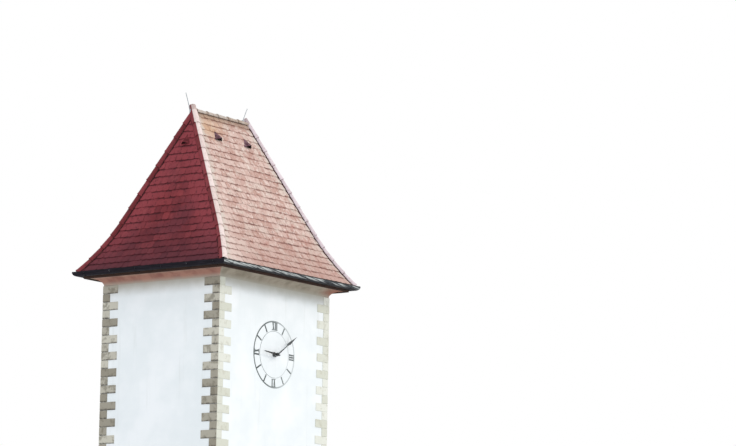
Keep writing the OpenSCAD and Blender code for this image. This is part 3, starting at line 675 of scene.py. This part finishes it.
# Sandstone, sawn and weathered: pale greenish beige painted as lit on the faces marked lit, and grey brown
# in painted shade on the others, where each stone has a painted shadow along its lower edge. A few dark
# specks run over both
def sandstone():
    finish, tree, place = start("sawn_sandstone")
    tone = add(tree, "Attribute", out="Fac", attribute_name="tone")
    shaded = layer(tree, linear("989181"), linear("CBC6B6"), tone, 0.0, 1.0)
    shaded = patches(tree, place, shaded, linear("766F60"), 130, 0.48, 0.66, 0.6)
    # A painted shadow along the lower edge of each shaded stone
    course = add(tree, "SeparateXYZ", {"Vector": place}, "Z")
    course = add(tree, "Math", {0: course, 1: COVE_Z / QUOIN_COURSES}, operation="FLOORED_MODULO")
    blots = add(tree, "TexNoise", {"Vector": place, "Scale": 1000 / 70, "Detail": 3.0})
    course = add(tree, "Math", {0: blots, 1: 0.08, 2: course}, operation="MULTIPLY_ADD")
    shaded = layer(tree, linear("57524A"), shaded, course, 0.035, 0.085, 1.0)
    lit = layer(tree, linear("D6D6C6"), linear("E8E8DC"), tone, 0.0, 1.0)
    lit = patches(tree, place, lit, linear("B4AE98"), 120, 0.50, 0.70, 0.35)
    colour = layer(tree, shaded, lit, add(tree, "Attribute", out="Fac", attribute_name="lit"), 0.0, 0.15)
    colour = patches(tree, place, colour, linear("6A6458"), 26, 0.62, 0.74, 0.25)
    pits = add(tree, "TexNoise", {"Vector": place, "Scale": 1000 / 16, "Detail": 4.0})
    close(tree, colour, pits, 3.0, {"Roughness": 0.88, "IOR": 1.5, "Specular IOR Level": 0.25})
    return finish


# Titanium zinc sheet, rolled and weathered: dark grey with pale slanting streaks of painted highlight below
# a painted shadow along the rim, darker toward the bottom as painted shade, and near black in painted shade
# away from the painted light
def zinc_sheet():
    finish, tree, place = start("zinc_sheet_painted_light_and_shade")
    level = add(tree, "SeparateXYZ", {"Vector": place}, "Z")
    slant = add(tree, "Mapping", {"Vector": place, "Rotation": (0, 0.115, 0), "Scale": (0.5, 0.5, 0.022)},
                vector_type="TEXTURE")
    # Pale slanting streaks: painted highlights
    glint_streaks = add(tree, "TexNoise", {"Vector": slant, "Scale": 1.0, "Detail": 2.0})
    lit_side_coat = layer(tree, linear("45484B"), linear("C4C8C5"), glint_streaks, 0.44, 0.60)
    # A painted shadow along the top, under the tile ends
    lit_side_coat = layer(tree, lit_side_coat, linear("2E2C2E"), level, RIM_Z - 0.018, RIM_Z - 0.010)
    # Darker toward the bottom: painted shade
    lit_side_coat = layer(tree, linear("2B292B"), lit_side_coat, level, RIM_Z - 0.085, RIM_Z - 0.050)
    # Near black copy: painted shade and dark reflection
    shade_side_coat = layer(tree, linear("120E17"), linear("201B25"), glint_streaks, 0.45, 0.65)
    colour = layer(tree, shade_side_coat, lit_side_coat, painted_light_side(tree), -0.30, 0.05)
    dents = add(tree, "TexNoise", {"Vector": place, "Scale": 1000 / 60, "Detail": 2.0})
    close(tree, colour, dents, 1.0, {"Metallic": 0.35, "Roughness": 0.70, "Specular IOR Level": 0.25})
    return finish


# Softwood board, dark brown, partly its own stain and partly painted shade under the gutter: long grain,
# darker at the knots
def dark_board():
    finish, tree, place = start("softwood_stain_and_painted_shade")
    grain = add(tree, "Mapping", {"Vector": place, "Scale": (6.0, 6.0, 110.0)})
    lines = add(tree, "TexNoise", {"Vector": grain, "Scale": 1.0, "Detail": 4.0, "Roughness": 0.6})
    colour = layer(tree, linear("2E1E16"), linear("4A3226"), lines, 0.3, 0.7)
    colour = patches(tree, place, colour, linear("1E130E"), 130, 0.62, 0.75, 0.5)
    close(tree, colour, lines, 0.8, {"Roughness": 0.7, "IOR": 1.5, "Specular IOR Level": 0.3})
    return finish


# Bare pine boards under the tiles: dusty grey brown with long grain
def pine_boarding():
    finish, tree, place = start("dusty_pine_boarding")
    grain = add(tree, "Mapping", {"Vector": place, "Scale": (5.0, 5.0, 70.0)})
    lines = add(tree, "TexNoise", {"Vector": grain, "Scale": 1.0, "Detail": 4.0, "Roughness": 0.6})
    colour = layer(tree, linear("3A2620"), linear("5C4034"), lines, 0.3, 0.7)
    colour = patches(tree, place, colour, linear("6E5A4E"), 350, 0.4, 0.7, 0.4)
    close(tree, colour, lines, 1.0, {"Roughness": 0.85, "IOR": 1.5})
    return finish


# Mineral paint on the dial's marks: slate grey, thin in places so that the render shows through, and washed
# out toward the right by the share that is given
def dial_paint(name, dark, washed_out):
    finish, tree, place = start(name)
    colour = patches(tree, place, linear(dark), linear("606866"), 260, 0.35, 0.65)
    colour = patches(tree, place, colour, linear("B9BDB9"), 45, 0.55, 0.78, 0.5)
    to_right = add(tree, "SeparateXYZ", {"Vector": place}, "X")
    colour = layer(tree, colour, linear("CDD2D0"), to_right, -0.45, 0.65, washed_out)
    brush = add(tree, "TexNoise", {"Vector": place, "Scale": 1000 / 20, "Detail": 3.0})
    close(tree, colour, brush, 1.0, {"Roughness": 0.8, "IOR": 1.5})
    return finish


# Oil paint on the copper hands: satin black on the hour hand, and slate on the minute hand, partly faded
# paint and partly a painted sheen
def hand_paint(name, dark, patch_tone):
    finish, tree, place = start(name)
    colour = patches(tree, place, linear(dark), linear(patch_tone), 150, 0.4, 0.7)
    brush = add(tree, "TexNoise", {"Vector": place, "Scale": 1000 / 12, "Detail": 3.0})
    close(tree, colour, brush, 0.4, {"Roughness": 0.5, "IOR": 1.5})
    return finish


# Turned steel of the hands' shafts: grey with fine rings and an oil stain
def turned_steel():
    finish, tree, place = start("turned_steel")
    turned = add(tree, "Mapping", {"Vector": place, "Scale": (33.0, 167.0, 33.0)})
    rings = add(tree, "TexNoise", {"Vector": turned, "Scale": 1.0, "Detail": 2.0})
    colour = layer(tree, linear("6F7375"), linear("8E9294"), rings, 0.3, 0.7)
    colour = patches(tree, place, colour, linear("4A4238"), 60, 0.5, 0.7, 0.4)
    close(tree, colour, rings, 0.2, {"Metallic": 1.0, "Roughness": 0.42})
    return finish


# Galvanised steel rods: matt grey with a fine spangle
def galvanised_steel():
    finish, tree, place = start("galvanised_steel")
    spangle = add(tree, "TexVoronoi", {"Vector": place, "Scale": 1000 / 16}, "Color")
    tint = add(tree, "SeparateXYZ", {"Vector": spangle}, "X")
    colour = layer(tree, linear("868D92"), linear("A9B0B5"), tint, 0.0, 1.0)
    dull = add(tree, "TexNoise", {"Vector": place, "Scale": 1000 / 20, "Detail": 2.0})
    close(tree, colour, dull, 0.4, {"Metallic": 0.6, "Roughness": 0.5})
    return finish


# Screeded floor of the studio: pale grey with a slow cloud
def pale_screed():
    finish, tree, place = start("pale_screed")
    colour = patches(tree, place, linear("DADBDC"), linear("E2E3E4"), 3000, 0.3, 0.7)
    grit = add(tree, "TexNoise", {"Vector": place, "Scale": 1000 / 60, "Detail": 3.0})
    close(tree, colour, grit, 1.0, {"Roughness": 0.9, "IOR": 1.5})
    return finish


# Dressing the solids

zinc, steel, rods = zinc_sheet(), turned_steel(), galvanised_steel()
hood = hood_clay("mauve_vent_clay", "57383F", "81626A", "D9BFBB", "E6D2CE")
# The back and left hoods take a clay that stays red on both sides, painted in shade
shaded_hood = hood_clay("vent_clay_in_painted_shade", "5F2227", "7B3236", "7C3337", "9A5355")
finish_of = {"hour_hand": hand_paint("satin_black_paint", "161715", "2A2B29"),
             # The minute hand's slate grey is partly faded paint and partly a painted sheen
             "minute_hand": hand_paint("faded_black_paint_and_sheen", "3A3D3D", "5C6060"),
             "arbor_sleeve": steel, "hour_pipe": steel, "minute_arbor": steel, "gutter_brackets": zinc,
             "dial_outer_ring": dial_paint("slate_ring_paint", "5A6260", 0.95),
             "dial_inner_ring": dial_paint("thin_ring_paint", "A3AAA8", 1.00),
             "dial_marks": dial_paint("slate_numeral_paint", "343A39", 0.15),
             "lightning_rod_left": rods, "lightning_rod_right": rods,
             "front_vents": hood, "right_vent": hood, "back_vents": shaded_hood, "left_vent": shaded_hood}
finish_of["hand_nut"] = finish_of["hour_hand"]
render_coat, cove_coat, board, boarding = lime_render(), cove_render(), dark_board(), pine_boarding()
for side in SIDES:
    finish_of.update({side + "_wall": render_coat, side + "_cove": cove_coat, side + "_fascia": board,
                      side + "_roof_slope": boarding, side + "_gutter": zinc})
for name, finish in finish_of.items():
    nodes[name].data.materials.clear()
    nodes[name].data.materials.append(finish)

tile, caps, stone = clay_tile(), cap_clay(), sandstone()
for side in SIDES:
    tile_slope(side, FRONT_GAUGE if side in ("front", "back") else END_GAUGE, tile)
for corner in CORNERS:
    hip_caps(corner, caps)
    corner_stones(corner, stone)
ridge_cap_row(caps)
hip_shadow_mortar(mortar_with_painted_shade())
vent_throats(vent_soot_and_shade())


# Floor, light and camera

# Strength of the even sky and of the key lamp, how many degrees wide the lamp looks, and the way to it
SKY, KEY, KEY_ANGLE = 1.13, 0.79, 14
KEY_FROM = (0.52, -0.62, 0.58)
# The photograph's camera: its turn to the right, tilt up and roll in degrees, its lens in pixels of a
# picture PHOTO_W wide, and where it stands
YAW, PITCH, ROLL = 54.2008, 9.1505, 0.9542
LENS_PX, PHOTO_W, SENSOR_MM = 3402.9, 736, 36.0
STAND = (-63.466, -50.191, 0.420)
# Radii of the floor and of the small hole at its centre, and how far it lies below the tower's foot
FLOOR_R, HUB_R, FLOOR_DOWN = 40.0, 0.01, 0.002


def stage_floor():
    """A pale round floor under the tower: rings at growing radii round a small hole under the shaft."""
    angle, radius = np.meshgrid(np.linspace(0, 2 * np.pi, 97), np.linspace(HUB_R, FLOOR_R, 9), indexing="ij")
    points = np.stack([radius * np.cos(angle), radius * np.sin(angle), -FLOOR_DOWN + 0 * angle], -1)
    mesh = bpy.data.meshes.new("floor")
    mesh.from_pydata(points.reshape(-1, 3).tolist(), [], grid_faces(*angle.shape)[:, ::-1].tolist())
    mesh.materials.append(pale_screed())
    floor = bpy.data.objects.new("floor", mesh)
    bpy.context.scene.collection.objects.link(floor)


def studio_light():
    """A soft key from the front right, an even sky for the rest, and a white backdrop."""
    world = bpy.data.worlds.new("studio")
    bpy.context.scene.world = world
    world.use_nodes = True
    tree = world.node_tree
    tree.nodes.clear()
    camera_ray = add(tree, "LightPath", out="Is Camera Ray")
    rays = camera_ray.node.outputs
    seen = add(tree, "Math", {0: camera_ray, 1: rays["Is Glossy Ray"]}, operation="MAXIMUM")
    seen = add(tree, "Math", {0: seen, 1: rays["Is Transmission Ray"]}, operation="MAXIMUM")
    strength = add(tree, "MapRange", {"Value": seen, "To Min": SKY, "To Max": 1.0})
    colour = add(tree, "Mix", {"Factor": seen, "A": linear("F0F4FA"), "B": linear("FFFFFF")},
                 data_type="RGBA")
    add(tree, "OutputWorld", {"Surface": add(tree, "Background", {"Color": colour, "Strength": strength})})
    lamp = bpy.data.objects.new("key", bpy.data.lights.new("key", "SUN"))
    lamp.data.energy = KEY
    lamp.data.angle = math.radians(KEY_ANGLE)
    lamp.data.color = linear("FFF6EA")[:3]
    lamp.rotation_mode = "QUATERNION"
    lamp.rotation_quaternion = Vector(KEY_FROM).to_track_quat("Z", "Y")
    bpy.context.scene.collection.objects.link(lamp)


def photo_camera():
    """The photograph's camera: a long lens, low and to the left, turned up at the roof."""
    yaw, pitch, roll = (math.radians(angle) for angle in (YAW, PITCH, ROLL))
    forward = np.array([math.sin(yaw) * math.cos(pitch), math.cos(yaw) * math.cos(pitch), math.sin(pitch)])
    level = np.array([math.cos(yaw), -math.sin(yaw), 0.0])
    above = np.cross(level, forward)
    right = math.cos(roll) * level + math.sin(roll) * above
    up = math.cos(roll) * above - math.sin(roll) * level
    lens = bpy.data.cameras.new("photo_camera")
    lens.sensor_fit = "HORIZONTAL"
    lens.sensor_width = SENSOR_MM
    lens.lens = LENS_PX / PHOTO_W * SENSOR_MM
    lens.clip_end = 500.0
    camera = bpy.data.objects.new("photo_camera", lens)
    turn = Matrix(np.stack([right, up, -forward], 1).tolist()).to_4x4()
    camera.matrix_world = Matrix.Translation(STAND) @ turn
    bpy.context.scene.collection.objects.link(camera)
    bpy.context.scene.camera = camera


stage_floor()
studio_light()
photo_camera()
bpy.context.scene.view_settings.view_transform = "Standard"
